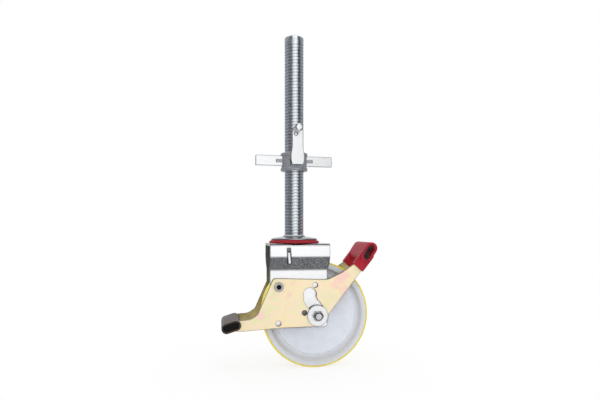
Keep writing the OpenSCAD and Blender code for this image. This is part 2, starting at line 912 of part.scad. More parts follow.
// Latch: a strap hinged at the nut's foot, with a sprung plunger that enters the scaffold tube
plunger_h = latch_foot + latch_len - 5;
module latch_plate() {
    foot = latch_foot;
    head = latch_foot + latch_len;
    shoulder = 18;
    outline = rounded([
        [-latch_w / 2 + 2, foot, 1], [latch_w / 2 - 2, foot, 1], [latch_w / 2, foot + 10, 3],
        [latch_w / 2, foot + shoulder, 6], [latch_top_w / 2, foot + shoulder + 16, 20],
        [latch_top_w / 2, head, latch_top_w / 2 - 0.5], [-latch_top_w / 2, head, latch_top_w / 2 - 0.5],
        [-latch_top_w / 2, foot + shoulder + 16, 20], [-latch_w / 2, foot + shoulder, 6],
        [-latch_w / 2, foot + 10, 3]
    ]);
    ear_r = lug_r;
    color(zinc)
        nut_frame()
            difference() {
                union() {
                    across(-latch_out, -latch_in)
                        polygon(outline);
                    for (side = [-1, 1])
                        scale_side(side)
                            translate([lug_half + 0.4, 0, 0])
                                latch_ear(ear_r);
                }
                hinge_bar(hinge_pin_r + seat_gap, latch_w);
                translate([0, 0, plunger_h])
                    bar([0, 0], plunger_d / 2 + run_gap, -latch_out - over, -latch_in + over);
            }
}
module latch_ear(r) {
    translate([0, -hinge_y, hinge_h])
        rotate([0, 90, 0])
            cylinder(h = ear_t, r = r);
    translate([0, -latch_in - 0.5, hinge_h - r])
        cube([ear_t, latch_in + 0.5 - hinge_y, 2 * r]);
}
module latch_hinge_pin() {
    color("silver")
        nut_frame()
            hinge_bar(hinge_pin_r, lug_half + ear_t + 0.4);
}

bush_len = 8;
bush_wall = 1.6;
module plunger_bush() {
    color("silver")
        nut_frame()
            translate([0, 0, plunger_h])
                difference() {
                    bar([0, 0], bush_d / 2, -latch_out - bush_len, -latch_out);
                    bar([0, 0], bush_d / 2 - bush_wall, -latch_out - bush_len + 1.5, -latch_out + over);
                    bar([0, 0], neck_r + run_gap, -latch_out - bush_len - over, -latch_out);
                }
}
module latch_rivet() {
    color(zinc)
        nut_frame()
            translate([-3.4, -latch_out, plunger_h - bush_d / 2 - 4.4])
                rotate([90, 0, 0])
                    rotate_extrude()
                        polygon([[0, 0], [4, 0], [4, 1.2], [3.2, 2.2], [1.6, 2.8], [0, 3]]);
}

// Plunger: knob, neck through the bush, spring collar and the pin that enters the tube's hole
neck_r = 2.6;
collar_t = 1.5;
plunger_tip = spindle_r + 1.6;
plunger_pull = 4;
module locking_plunger() {
    knob_t = 6;
    knob_in = latch_out + bush_len + free_gap;
    knob_out = knob_in + knob_t;
    color("whitesmoke")
        nut_frame()
            translate([0, -plunger_tip, plunger_h])
                rotate([90, 0, 0])
                    rotate_extrude()
                        polygon([
                            [0, 0], [plunger_d / 2 - 1, 0], [plunger_d / 2, 1],
                            [plunger_d / 2, latch_out - plunger_tip], [bush_d / 2 - bush_wall - 0.2, latch_out - plunger_tip],
                            [bush_d / 2 - bush_wall - 0.2, latch_out - plunger_tip + collar_t],
                            [neck_r, latch_out - plunger_tip + collar_t], [neck_r, knob_in - plunger_tip],
                            [knob_d / 2 - 0.8, knob_in - plunger_tip], [knob_d / 2, knob_in - plunger_tip + 0.8],
                            [knob_d / 2, knob_out - plunger_tip - 1.8], [knob_d / 2 - 2.2, knob_out - plunger_tip - 0.3],
                            [0, knob_out - plunger_tip]
                        ]);
}
module plunger_spring() {
    wire = 0.5;
    length = bush_len - 1.5 - collar_t - 4 * seat_gap;
    color("silver")
        nut_frame()
            translate([0, -latch_out - collar_t - 2 * seat_gap, plunger_h])
                rotate([90, 0, 0])
                    coil(neck_r + 0.35 + wire, wire, 4, length);
}

// The whole castor, set so that the middle of the spindle's plain end is the origin
module set_in_frame() {
    translate([0, 0, -mount_height])
        children();
}

set_in_frame() spindle();
set_in_frame() stop_pin();
set_in_frame() head_plate();
set_in_frame() spindle_weld();
set_in_frame() dust_seal();
set_in_frame() upper_race();
set_in_frame() kingpin();
set_in_frame() thrust_washer();
set_in_frame() kingpin_nut();
set_in_frame() lower_race();
set_in_frame() swivel_balls();
set_in_frame() fork();
set_in_frame() pivot_screws();
set_in_frame() shoe_springs();
set_in_frame() lock_shoe();
set_in_frame() brake_plate_near();
set_in_frame() brake_plate_far();
set_in_frame() red_pedal();
set_in_frame() black_pedal();
set_in_frame() axle_bolt();
set_in_frame() axle_washers();
set_in_frame() axle_nut();
set_in_frame() bearing_spacer();
set_in_frame() wheel_bearings();
set_in_frame() wheel_centre();
set_in_frame() tread();
set_in_frame() adjusting_nut();
set_in_frame() nut_wings();
set_in_frame() latch_plate();
set_in_frame() latch_hinge_pin();
set_in_frame() plunger_bush();
set_in_frame() latch_rivet();
set_in_frame() locking_plunger();
set_in_frame() plunger_spring();
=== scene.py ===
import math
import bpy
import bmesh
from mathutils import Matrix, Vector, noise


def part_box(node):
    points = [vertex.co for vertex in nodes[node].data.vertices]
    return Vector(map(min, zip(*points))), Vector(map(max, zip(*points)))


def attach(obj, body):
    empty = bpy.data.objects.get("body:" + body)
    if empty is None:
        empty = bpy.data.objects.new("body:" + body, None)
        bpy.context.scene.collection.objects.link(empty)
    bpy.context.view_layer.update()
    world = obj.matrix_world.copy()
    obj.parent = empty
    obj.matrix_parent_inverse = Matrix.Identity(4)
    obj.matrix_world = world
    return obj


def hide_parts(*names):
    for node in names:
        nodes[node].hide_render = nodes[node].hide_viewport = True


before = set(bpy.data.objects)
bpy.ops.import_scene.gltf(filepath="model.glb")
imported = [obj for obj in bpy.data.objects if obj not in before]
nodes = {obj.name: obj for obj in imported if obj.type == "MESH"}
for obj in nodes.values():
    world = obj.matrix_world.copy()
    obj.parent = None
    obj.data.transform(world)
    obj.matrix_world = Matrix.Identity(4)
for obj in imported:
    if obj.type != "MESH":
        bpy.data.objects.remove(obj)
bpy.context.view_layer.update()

# %% [markdown]
# # A scaffold castor
#
# The castor carries the foot of a rolling scaffold tower. The construction already exists as solids, so this
# script gives each piece its finish, draws the few forms that solids are poor at, and lights the whole.
# The first thing to keep is the size of the solids: the dressed castor must stay inside it.

MM = 0.001


def low(node):
    return Vector(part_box(node)[0])


def high(node):
    return Vector(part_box(node)[1])


def middle(node):
    return (low(node) + high(node)) / 2


# %% [markdown]
# ## The camera
#
# The photograph was taken level, from about a metre away, a little towards the front of the castor. A level
# camera keeps the spindle upright in the picture. Its height is found from the discs of the swivel head,
# which turn into lines at eye level: the red seal is nearly a line, so the eye is just above it. Eye level is
# below the middle of the picture, so the lens is shifted by that much. Its length follows from the wheel.

# %% Camera at the photograph's place
PICTURE_W, PICTURE_H = 600, 400
FLOOR = low("tread").z
CAMERA_TURN = math.radians(9)
CAMERA_DISTANCE = 1.0
CAMERA_ASIDE = 11.8 * MM
EYE_HEIGHT = 262 * MM
EYE_ROW = 231.9
FOCAL_PIXELS = 507.6
SENSOR = 36.0

ahead = Vector((math.sin(CAMERA_TURN), math.cos(CAMERA_TURN), 0))
aside = Vector((math.cos(CAMERA_TURN), -math.sin(CAMERA_TURN), 0))
lens = bpy.data.cameras.new("camera")
lens.sensor_width = SENSOR
lens.lens = FOCAL_PIXELS / PICTURE_W * SENSOR
lens.shift_y = (EYE_ROW - PICTURE_H / 2) / PICTURE_W
lens.clip_start = 0.02
camera = bpy.data.objects.new("camera", lens)
bpy.context.collection.objects.link(camera)
camera.location = aside * CAMERA_ASIDE - ahead * CAMERA_DISTANCE
camera.location.z = FLOOR + EYE_HEIGHT
camera.rotation_euler = (math.pi / 2, 0, -CAMERA_TURN)
bpy.context.scene.camera = camera
print("the camera stands at", [round(v, 3) for v in camera.location])

# %% [markdown]
# ## Floor and background
#
# The photograph has a white ground without a horizon. A white world does this, as long as it is white only to
# the camera and in reflections: the light that falls on the castor is set apart, at a plain level. The floor
# is mostly the same white, with a little matt surface mixed in near the castor, so that it takes a soft shadow.

# %% White world and floor
bpy.context.scene.view_settings.view_transform = "Standard"
WORLD_LIGHT = 1.0
WHITE_UNDER_CASTOR = 0.80
SHADOW_REACH = 0.45

world = bpy.data.worlds.new("studio")
bpy.context.scene.world = world
world.use_nodes = True


def seen_directly(tree):
    """1 for camera, glossy and transmission rays, 0 for the rays that carry light to the castor."""
    path = tree.nodes.new("ShaderNodeLightPath")
    total = path.outputs["Is Camera Ray"]
    for kind in ("Is Glossy Ray", "Is Transmission Ray"):
        either = tree.nodes.new("ShaderNodeMath")
        either.operation = "MAXIMUM"
        tree.links.new(total, either.inputs[0])
        tree.links.new(path.outputs[kind], either.inputs[1])
        total = either.outputs[0]
    return total


tree = world.node_tree
tree.nodes.clear()
out = tree.nodes.new("ShaderNodeOutputWorld")
blend = tree.nodes.new("ShaderNodeMixShader")
light = tree.nodes.new("ShaderNodeBackground")
light.inputs["Strength"].default_value = WORLD_LIGHT
ground = tree.nodes.new("ShaderNodeBackground")
ground.inputs["Strength"].default_value = 1.0
tree.links.new(seen_directly(tree), blend.inputs["Fac"])
tree.links.new(light.outputs[0], blend.inputs[1])
tree.links.new(ground.outputs[0], blend.inputs[2])
tree.links.new(blend.outputs[0], out.inputs["Surface"])
for background in (light, ground):
    background.inputs["Color"].default_value = (1, 1, 1, 1)


def stage_panel(name, w, h, place, turn):
    """A flat rectangle of the studio, w by h, centred at place."""
    mesh = bpy.data.meshes.new(name)
    mesh.from_pydata([(-w / 2, -h / 2, 0), (w / 2, -h / 2, 0), (w / 2, h / 2, 0), (-w / 2, h / 2, 0)], [], [(0, 1, 2, 3)])
    panel = bpy.data.objects.new(name, mesh)
    bpy.context.collection.objects.link(panel)
    panel.location = place
    panel.rotation_euler = turn
    return panel


floor = stage_panel("floor", 12, 12, (0, 0, FLOOR - 0.2 * MM), (0, 0, 0))
paper = bpy.data.materials.new("floor_paper")
paper.use_nodes = True
tree = paper.node_tree
tree.nodes.clear()
out = tree.nodes.new("ShaderNodeOutputMaterial")
glow = tree.nodes.new("ShaderNodeEmission")
matt = tree.nodes.new("ShaderNodeBsdfDiffuse")
matt.inputs["Color"].default_value = (0.9, 0.9, 0.9, 1)
where = tree.nodes.new("ShaderNodeTexCoord")
off_centre = tree.nodes.new("ShaderNodeVectorMath")
off_centre.operation = "LENGTH"
tree.links.new(where.outputs["Object"], off_centre.inputs[0])
whiteness = tree.nodes.new("ShaderNodeMapRange")
whiteness.interpolation_type = "SMOOTHSTEP"
whiteness.inputs["From Min"].default_value = 0.0
whiteness.inputs["From Max"].default_value = SHADOW_REACH
whiteness.inputs["To Min"].default_value = WHITE_UNDER_CASTOR
whiteness.inputs["To Max"].default_value = 1.0
tree.links.new(off_centre.outputs["Value"], whiteness.inputs["Value"])
share = tree.nodes.new("ShaderNodeMath")
share.operation = "MULTIPLY"
tree.links.new(whiteness.outputs["Result"], share.inputs[1])
blend = tree.nodes.new("ShaderNodeMixShader")
tree.links.new(seen_directly(tree), share.inputs[0])
tree.links.new(share.outputs[0], blend.inputs["Fac"])
tree.links.new(matt.outputs[0], blend.inputs[1])
tree.links.new(glow.outputs[0], blend.inputs[2])
tree.links.new(blend.outputs[0], out.inputs["Surface"])
floor.data.materials.append(paper)
print("world and floor are white to the camera; the world lights the castor at", WORLD_LIGHT)

# %% [markdown]
# ## Lamps and dark boards
#
# Bright zinc has hardly a colour of its own: it shows what stands round it. The photograph's spindle has one
# bright stripe just right of its middle, a grey left half, a dark stripe on the right and a grey edge. The
# stripe is a gap in the room with a tall soft lamp in it, a little right of the camera. The boards beside the
# gap stand for the unlit room: mid-grey to the left, nearly black to the right, paler again at the far sides.
# Two more lie on the floor beside the gap, because the flanks of the thread look down as much as out.

# %% Lamps
def lamp(name, turn, height, away, w, h, power):
    """A soft rectangular lamp, turn degrees round from the camera's side, that looks at the castor's middle."""
    data = bpy.data.lights.new(name, "AREA")
    data.shape = "RECTANGLE"
    data.size = w
    data.size_y = h
    data.energy = power
    body = bpy.data.objects.new(name, data)
    bpy.context.collection.objects.link(body)
    a = math.radians(turn)
    body.location = (math.sin(a) * away, -math.cos(a) * away, FLOOR + height)
    aim = Vector((0, 0, FLOOR + 0.3)) - body.location
    body.rotation_euler = aim.to_track_quat("-Z", "Z").to_euler()
    return body


lamp("key", 8, 0.75, 1.7, 0.6, 1.7, 1.4)
lamp("top", 10, 1.9, 0.6, 1.2, 1.0, 3)

# %% Dark boards, for reflections only
BLACK, DARK, MIDDLE = 0.07, 0.19, 0.36


def only_reflected(panel, grey):
    """Paints a board and hides it from everything but reflections."""
    paint = bpy.data.materials.new(panel.name + "_paint")
    paint.use_nodes = True
    shader = paint.node_tree.nodes["Principled BSDF"]
    shader.inputs["Base Color"].default_value = (grey, grey, grey * 1.08, 1)
    shader.inputs["Roughness"].default_value = 0.9
    panel.data.materials.append(paint)
    panel.visible_camera = False
    panel.visible_shadow = False
    panel.visible_diffuse = False


def board(name, turn, away, w, h, grey):
    """An upright board, turn degrees round from the camera's side."""
    a = math.radians(turn)
    place = (math.sin(a) * away, -math.cos(a) * away, FLOOR + h / 2)
    panel = stage_panel(name, w, h, place, (math.pi / 2, 0, a))
    only_reflected(panel, grey)
    return panel


def carpet(name, turn_from, turn_to, near, far, grey, steps=8):
    """A slice of a ring on the floor, between two turns and two distances from the castor."""
    turns = [math.radians(turn_from + (turn_to - turn_from) * i / steps) for i in range(steps + 1)]
    points = [(math.sin(a) * r, -math.cos(a) * r, 0) for a in turns for r in (near, far)]
    mesh = bpy.data.meshes.new(name)
    mesh.from_pydata(points, [], [(2 * i, 2 * i + 1, 2 * i + 3, 2 * i + 2) for i in range(steps)])
    slice_of_floor = bpy.data.objects.new(name, mesh)
    bpy.context.collection.objects.link(slice_of_floor)
    slice_of_floor.location.z = FLOOR + 3 * MM
    only_reflected(slice_of_floor, grey)


board("board_left", -54, 2.0, 2.2, 3.4, DARK)
board("board_right", 57, 2.0, 1.4, 3.4, BLACK)
board("board_far_left", -116, 2.0, 2.6, 3.4, MIDDLE)
board("board_far_right", 110, 2.0, 2.7, 3.4, MIDDLE)
carpet("carpet_left", -30, -150, 0.25, 2.2, DARK)
carpet("carpet_right", 44, 144, 0.25, 2.2, DARK)
ceiling = board("board_above", 0, 0.9, 2.6, 1.4, BLACK)
ceiling.location.z = FLOOR + 2.3
ceiling.rotation_euler = (math.radians(150), 0, 0)
print("2 lamps and 7 boards")

# %% [markdown]
# ## Tools for finishes
#
# Every finish starts from one shader and a few noises in the castor's own coordinates, so that it keeps its
# scale and place when the castor is turned. A finish is never one flat colour: plating clouds, castings are
# grainy and mouldings have a faint texture.

# %% Helpers for materials
def finish(name, metallic, roughness):
    """A new material with its shader, ready for noises."""
    made = bpy.data.materials.new(name)
    made.use_nodes = True
    shader = made.node_tree.nodes["Principled BSDF"]
    shader.inputs["Metallic"].default_value = metallic
    shader.inputs["Roughness"].default_value = roughness
    return made, made.node_tree, shader


def place(tree, stretch=(1, 1, 1)):
    """The castor's own coordinates in metres, stretched along each axis."""
    where = tree.nodes.new("ShaderNodeTexCoord")
    scale = tree.nodes.new("ShaderNodeMapping")
    scale.inputs["Scale"].default_value = stretch
    tree.links.new(where.outputs["Object"], scale.inputs["Vector"])
    return scale.outputs["Vector"]


def clouds(tree, per_metre, detail=4.0, rough=0.55, stretch=(1, 1, 1)):
    """A noise with that many waves in a metre."""
    node = tree.nodes.new("ShaderNodeTexNoise")
    node.inputs["Scale"].default_value = per_metre
    node.inputs["Detail"].default_value = detail
    node.inputs["Roughness"].default_value = rough
    tree.links.new(place(tree, stretch), node.inputs["Vector"])
    return node.outputs["Fac"]


def shades(tree, amount, stops):
    """A ramp of colours over amount: stops are (position, (r, g, b))."""
    ramp = tree.nodes.new("ShaderNodeValToRGB")
    band = ramp.color_ramp
    while len(band.elements) < len(stops):
        band.elements.new(0.5)
    for element, (at, colour) in zip(band.elements, stops):
        element.position = at
        element.color = (*colour, 1)
    tree.links.new(amount, ramp.inputs["Fac"])
    return ramp.outputs["Color"]


def levels(tree, amount, low_in, high_in, low_out, high_out):
    """amount, stretched from one range to another and held there."""
    node = tree.nodes.new("ShaderNodeMapRange")
    node.inputs["From Min"].default_value = low_in
    node.inputs["From Max"].default_value = high_in
    node.inputs["To Min"].default_value = low_out
    node.inputs["To Max"].default_value = high_out
    tree.links.new(amount, node.inputs["Value"])
    return node.outputs["Result"]


def mixed(tree, share, one, other):
    """Colour one where share is 0, the other where it is 1. A plain number is the same share everywhere."""
    node = tree.nodes.new("ShaderNodeMix")
    node.data_type = "RGBA"
    if isinstance(share, float):
        node.inputs["Factor"].default_value = share
    else:
        tree.links.new(share, node.inputs["Factor"])
    for colour, socket in ((one, node.inputs["A"]), (other, node.inputs["B"])):
        if isinstance(colour, tuple):
            socket.default_value = (*colour, 1)
        else:
            tree.links.new(colour, socket)
    return node.outputs["Result"]


def relief(tree, shader, height, depth, strength=1.0):
    """Turns a noise into small bumps that are depth metres high."""
    node = tree.nodes.new("ShaderNodeBump")
    node.inputs["Distance"].default_value = depth
    node.inputs["Strength"].default_value = strength
    tree.links.new(height, node.inputs["Height"])
    tree.links.new(node.outputs["Normal"], shader.inputs["Normal"])
    return node


def cut_edges(tree, shader, edge_shade, along="Y"):
    """Paints the sheared edges of a sheet, whose faces look away from the sheet's own direction, darker: painted shade.
    """
    coordinates = tree.nodes.new("ShaderNodeTexCoord")
    way = tree.nodes.new("ShaderNodeSeparateXYZ")
    tree.links.new(coordinates.outputs["Normal"], way.inputs["Vector"])
    size = tree.nodes.new("ShaderNodeMath")
    size.operation = "ABSOLUTE"
    tree.links.new(way.outputs[along], size.inputs[0])
    on_edge = levels(tree, size.outputs[0], 0.45, 0.8, 1 if along == "Y" else 0, 0 if along == "Y" else 1)
    plain = shader.inputs["Base Color"].links[0].from_socket
    tree.links.new(mixed(tree, on_edge, plain, edge_shade), shader.inputs["Base Color"])


def edge_lines(tree, shader, reach, colour):
    """Greys the thin line along every edge: painted shade, where the rounding turns away from the light, and soiling
    that stays there.
    """
    rounded = tree.nodes.new("ShaderNodeBevel")
    rounded.samples = 6
    rounded.inputs["Radius"].default_value = reach
    flat = tree.nodes.new("ShaderNodeNewGeometry")
    agree = tree.nodes.new("ShaderNodeVectorMath")
    agree.operation = "DOT_PRODUCT"
    tree.links.new(rounded.outputs["Normal"], agree.inputs[0])
    tree.links.new(flat.outputs["Normal"], agree.inputs[1])
    on_edge = levels(tree, agree.outputs["Value"], 0.955, 0.997, 1, 0)
    plain = shader.inputs["Base Color"].links[0].from_socket
    tree.links.new(mixed(tree, on_edge, plain, colour), shader.inputs["Base Color"])


def dress(material, *names):
    """Gives the material to these nodes, in every slot they have."""
    for name in names:
        mesh = nodes[name].data
        mesh.materials.clear()
        mesh.materials.append(material)
    print(material.name, "on", ", ".join(names))


# %% [markdown]
# ## Bright zinc
#
# The fork, the head plate, the latch and the washers are steel sheet with a bright zinc plating: nearly
# white, with soft clouds where the bath was uneven, and a fine grain from the rolled sheet under it. The
# bent band under the fork's crown is duller and speckled, so its mask roughens the same plating there and
# darkens it with a speckled painted shade, the dark that the sloping band reflects. The mask reads height and
# width in the castor's own frame. The inside of the fork is painted darker, as painted shade, which a second
# mask finds by the way faces look. A third mask paints a dark line of painted shade along the crown's bend.

# %% Bright zinc on sheet
# The colour of the painted shade along edges.
EDGE_GREY = (0.08, 0.083, 0.09)


def sheet_zinc(name, tint=(0.74, 0.75, 0.76)):
    made, tree, shader = finish(name, 1.0, 0.3)
    cloud = clouds(tree, 45, detail=5)
    colour = shades(tree, cloud, [(0.3, tuple(c * 0.90 for c in tint)), (0.5, tint), (0.7, tuple(c * 1.08 for c in tint))])
    tree.links.new(colour, shader.inputs["Base Color"])
    grain = clouds(tree, 900, detail=3, stretch=(1, 1, 0.35))
    tree.links.new(levels(tree, cloud, 0.3, 0.7, 0.24, 0.38), shader.inputs["Roughness"])
    relief(tree, shader, grain, 0.02 * MM)
    return made, tree, shader


bright_zinc, tree, shader = sheet_zinc("bright_zinc", (0.84, 0.85, 0.86))
edge_lines(tree, shader, 2.2 * MM, EDGE_GREY)
dress(bright_zinc, "axle_washers", "latch_rivet", "locking_plunger")
bar_zinc, tree, shader = sheet_zinc("bar_zinc", (0.80, 0.81, 0.82))
cut_edges(tree, shader, (0.30, 0.31, 0.32), "X")
edge_lines(tree, shader, 2.2 * MM, EDGE_GREY)
dress(bar_zinc, "nut_wings", "latch_plate", "lock_shoe")
dull_zinc, _, _ = sheet_zinc("dull_zinc", (0.42, 0.43, 0.45))
dress(dull_zinc, "head_plate")

# %% The fork's plating, with its dull bent band and painted shade
SLOPE_TOP = 215 * MM + FLOOR
SLOPE_FOOT = 189 * MM + FLOOR
LEG_FACE = 37.3 * MM
fork_zinc, tree, shader = sheet_zinc("fork_zinc", (0.86, 0.87, 0.88))
where = tree.nodes.new("ShaderNodeSeparateXYZ")
tree.links.new(place(tree), where.inputs["Vector"])


def product(tree, a, b):
    node = tree.nodes.new("ShaderNodeMath")
    node.operation = "MULTIPLY"
    tree.links.new(a, node.inputs[0])
    tree.links.new(b, node.inputs[1])
    return node.outputs[0]


wide = tree.nodes.new("ShaderNodeMath")
wide.operation = "ABSOLUTE"
tree.links.new(where.outputs["Y"], wide.inputs[0])
band = levels(tree, where.outputs["Z"], SLOPE_FOOT - 2 * MM, SLOPE_FOOT + 3 * MM, 0, 1)
band = product(tree, band, levels(tree, where.outputs["Z"], SLOPE_TOP - 1.5 * MM, SLOPE_TOP + 2 * MM, 1, 0))
band = product(tree, band, levels(tree, wide.outputs[0], LEG_FACE - 0.6 * MM, LEG_FACE, 0, 1))
# The band's speckled dark colour is painted shade, the dark reflection of the slope, on a rougher plating.
speckled_shade = shades(tree, clouds(tree, 480, detail=3, rough=0.8), [
    (0.36, (0.08, 0.083, 0.09)), (0.5, (0.20, 0.207, 0.22)), (0.66, (0.46, 0.47, 0.49))])
plating = shader.inputs["Base Color"].links[0].from_socket
gloss = shader.inputs["Roughness"].links[0].from_socket
tree.links.new(mixed(tree, band, plating, speckled_shade), shader.inputs["Base Color"])
# The faces inside the fork are painted darker: painted shade.
facing = tree.nodes.new("ShaderNodeTexCoord")
skin = tree.nodes.new("ShaderNodeSeparateXYZ")
tree.links.new(facing.outputs["Normal"], skin.inputs["Vector"])
inward = levels(tree, product(tree, skin.outputs["Y"], where.outputs["Y"]), -0.02, -0.01, 1, 0)
outside = shader.inputs["Base Color"].links[0].from_socket
tree.links.new(mixed(tree, inward, outside, (0.24, 0.245, 0.26)), shader.inputs["Base Color"])
cut_edges(tree, shader, (0.30, 0.31, 0.33), "X")
# A dark line on the faces that look partly up, where the crown bends: painted shade.
upward = skin.outputs["Z"]
bend_shade = product(tree, levels(tree, upward, 0.5, 0.7, 0, 1), levels(tree, upward, 0.96, 0.995, 1, 0))
flat = shader.inputs["Base Color"].links[0].from_socket
tree.links.new(mixed(tree, bend_shade, flat, (0.16, 0.165, 0.175)), shader.inputs["Base Color"])
edge_lines(tree, shader, 2.4 * MM, EDGE_GREY)
rougher = tree.nodes.new("ShaderNodeMix")
tree.links.new(band, rougher.inputs["Factor"])
tree.links.new(gloss, rougher.inputs["A"])
rougher.inputs["B"].default_value = 0.55
tree.links.new(rougher.outputs["Result"], shader.inputs["Roughness"])
dress(fork_zinc, "fork")

# %% [markdown]
# ## Bright steel
#
# Screws, nuts, the kingpin, the bearings and the springs are turned or drawn steel, a little darker than the
# plated sheet and with finer marks.

# %% Bright steel for fasteners and bearings
bright_steel, tree, shader = finish("bright_steel", 1.0, 0.25)
cloud = clouds(tree, 160, detail=4)
tree.links.new(shades(tree, cloud, [(0.3, (0.50, 0.51, 0.53)), (0.7, (0.68, 0.69, 0.71))]), shader.inputs["Base Color"])
tree.links.new(levels(tree, cloud, 0.3, 0.7, 0.2, 0.36), shader.inputs["Roughness"])
relief(tree, shader, clouds(tree, 1500, detail=2), 0.01 * MM)
edge_lines(tree, shader, 1.2 * MM, (0.06, 0.062, 0.07))
dress(bright_steel, "stop_pin", "upper_race", "lower_race", "swivel_balls", "kingpin", "thrust_washer",
      "kingpin_nut", "shoe_springs", "axle_bolt", "axle_nut", "bearing_spacer",
      "wheel_bearings", "latch_hinge_pin", "plunger_bush", "plunger_spring")

# %% [markdown]
# ## Hex sockets
#
# The screws that the brake rocks on are driven by a hex key. Their sockets hold old grease and hardly any
# light, so they look black. The socket is found by its distance from the screw's axis.

# %% Screws with dark sockets
SOCKET_R = 4.6 * MM
socket_steel, tree, shader = finish("socket_steel", 1.0, 0.25)
cloud = clouds(tree, 160, detail=4)
tree.links.new(shades(tree, cloud, [(0.3, (0.30, 0.31, 0.32)), (0.7, (0.44, 0.45, 0.46))]), shader.inputs["Base Color"])
from_axis = tree.nodes.new("ShaderNodeVectorMath")
from_axis.operation = "MULTIPLY_ADD"
from_axis.inputs[1].default_value = (1, 0, 1)
screw = middle("pivot_screws")
from_axis.inputs[2].default_value = (-screw.x, 0, -screw.z)
tree.links.new(place(tree), from_axis.inputs[0])
radius = tree.nodes.new("ShaderNodeVectorMath")
radius.operation = "LENGTH"
tree.links.new(from_axis.outputs["Vector"], radius.inputs[0])
in_socket = levels(tree, radius.outputs["Value"], SOCKET_R - 0.3 * MM, SOCKET_R, 1, 0)
steel = shader.inputs["Base Color"].links[0].from_socket
tree.links.new(mixed(tree, in_socket, steel, (0.03, 0.03, 0.032)), shader.inputs["Base Color"])
tree.links.new(levels(tree, in_socket, 0, 1, 0.28, 0.7), shader.inputs["Roughness"])
edge_lines(tree, shader, 1.2 * MM, (0.06, 0.062, 0.07))
dress(socket_steel, "pivot_screws")

# %% [markdown]
# ## Yellow passivation
#
# The brake plates are zinc plated too, but dipped afterwards in a bath that leaves a film of pale straw. The
# film's thickness varies, and with it the colour: faint clouds of pink, green and deeper yellow. Two noises
# of different size choose the tint, so that the patches don't repeat.

# %% Yellow passivated plates
yellow_zinc, tree, shader = finish("yellow_zinc", 0.55, 0.42)
patches = clouds(tree, 32, detail=4, rough=0.6)
straw = shades(tree, patches, [
    (0.32, (1.0, 0.64, 0.57)), (0.42, (0.95, 0.83, 0.49)), (0.5, (0.99, 0.79, 0.59)),
    (0.58, (0.84, 0.85, 0.48)), (0.68, (1.0, 0.68, 0.62))])
fine = clouds(tree, 90, detail=5, rough=0.6)
veil = shades(tree, fine, [(0.35, (0.89, 0.73, 0.50)), (0.65, (0.99, 0.88, 0.66))])
tree.links.new(mixed(tree, 0.25, straw, veil), shader.inputs["Base Color"])
tree.links.new(levels(tree, fine, 0.3, 0.7, 0.34, 0.5), shader.inputs["Roughness"])
relief(tree, shader, clouds(tree, 1100, detail=2), 0.015 * MM)
cut_edges(tree, shader, (0.10, 0.075, 0.04))
# The faces that look in towards the wheel take a darker olive: painted shade.
where = tree.nodes.new("ShaderNodeSeparateXYZ")
tree.links.new(place(tree), where.inputs["Vector"])
skin = tree.nodes.new("ShaderNodeSeparateXYZ")
tree.links.new(tree.nodes.new("ShaderNodeTexCoord").outputs["Normal"], skin.inputs["Vector"])
inward = levels(tree, product(tree, skin.outputs["Y"], where.outputs["Y"]), -0.02, -0.01, 1, 0)
olive = shades(tree, patches, [(0.35, (0.40, 0.34, 0.15)), (0.6, (0.60, 0.52, 0.28))])
outside = shader.inputs["Base Color"].links[0].from_socket
tree.links.new(mixed(tree, inward, outside, olive), shader.inputs["Base Color"])
edge_lines(tree, shader, 2.0 * MM, (0.12, 0.09, 0.05))
dress(yellow_zinc, "brake_plate_near", "brake_plate_far")

# %% [markdown]
# ## Moulded pedals and seal
#
# The pedals are moulded in crimson and in black. A moulding has a faint orange-peel skin and a soft sheen;
# the black one is a little brown, with a painted brown highlight along its edges and painted shade in the
# recess at its end. The dust seal is softer and duller.

# %% Mouldings
def moulding(name, dark, plain, pale, roughness, skin=0.03, gloss=0.25):
    made, tree, shader = finish(name, 0.0, roughness)
    cloud = clouds(tree, 60, detail=5)
    tree.links.new(shades(tree, cloud, [(0.3, dark), (0.5, plain), (0.72, pale)]), shader.inputs["Base Color"])
    tree.links.new(levels(tree, cloud, 0.3, 0.7, roughness - 0.06, roughness + 0.08), shader.inputs["Roughness"])
    relief(tree, shader, clouds(tree, 1300, detail=2), skin * MM)
    shader.inputs["Specular IOR Level"].default_value = gloss
    return made


red = moulding("pedal_red", (0.28, 0.008, 0.022), (0.37, 0.012, 0.030), (0.46, 0.020, 0.042), 0.46, gloss=0.15)
dress(red, "red_pedal")
black = moulding("pedal_black", (0.022, 0.014, 0.012), (0.042, 0.027, 0.023), (0.08, 0.052, 0.044), 0.36, gloss=0.12)
dress(black, "black_pedal")
tree = black.node_tree
shader = tree.nodes["Principled BSDF"]
where = tree.nodes.new("ShaderNodeSeparateXYZ")
tree.links.new(place(tree), where.inputs["Vector"])
wide = tree.nodes.new("ShaderNodeMath")
wide.operation = "ABSOLUTE"
tree.links.new(where.outputs["Y"], wide.inputs[0])
pedal_end = high("black_pedal").y
skin = tree.nodes.new("ShaderNodeSeparateXYZ")
tree.links.new(tree.nodes.new("ShaderNodeTexCoord").outputs["Normal"], skin.inputs["Vector"])
sideways = tree.nodes.new("ShaderNodeMath")
sideways.operation = "ABSOLUTE"
tree.links.new(skin.outputs["Y"], sideways.inputs[0])
# Faces that look along the pedal, set back from its end, are painted nearly black: painted shade in the recess.
recess_shade = product(tree, levels(tree, wide.outputs[0], pedal_end - 0.9 * MM, pedal_end - 0.5 * MM, 1, 0),
                 levels(tree, sideways.outputs[0], 0.8, 0.95, 0, 1))
outside = shader.inputs["Base Color"].links[0].from_socket
tree.links.new(mixed(tree, recess_shade, outside, (0.005, 0.004, 0.004)), shader.inputs["Base Color"])
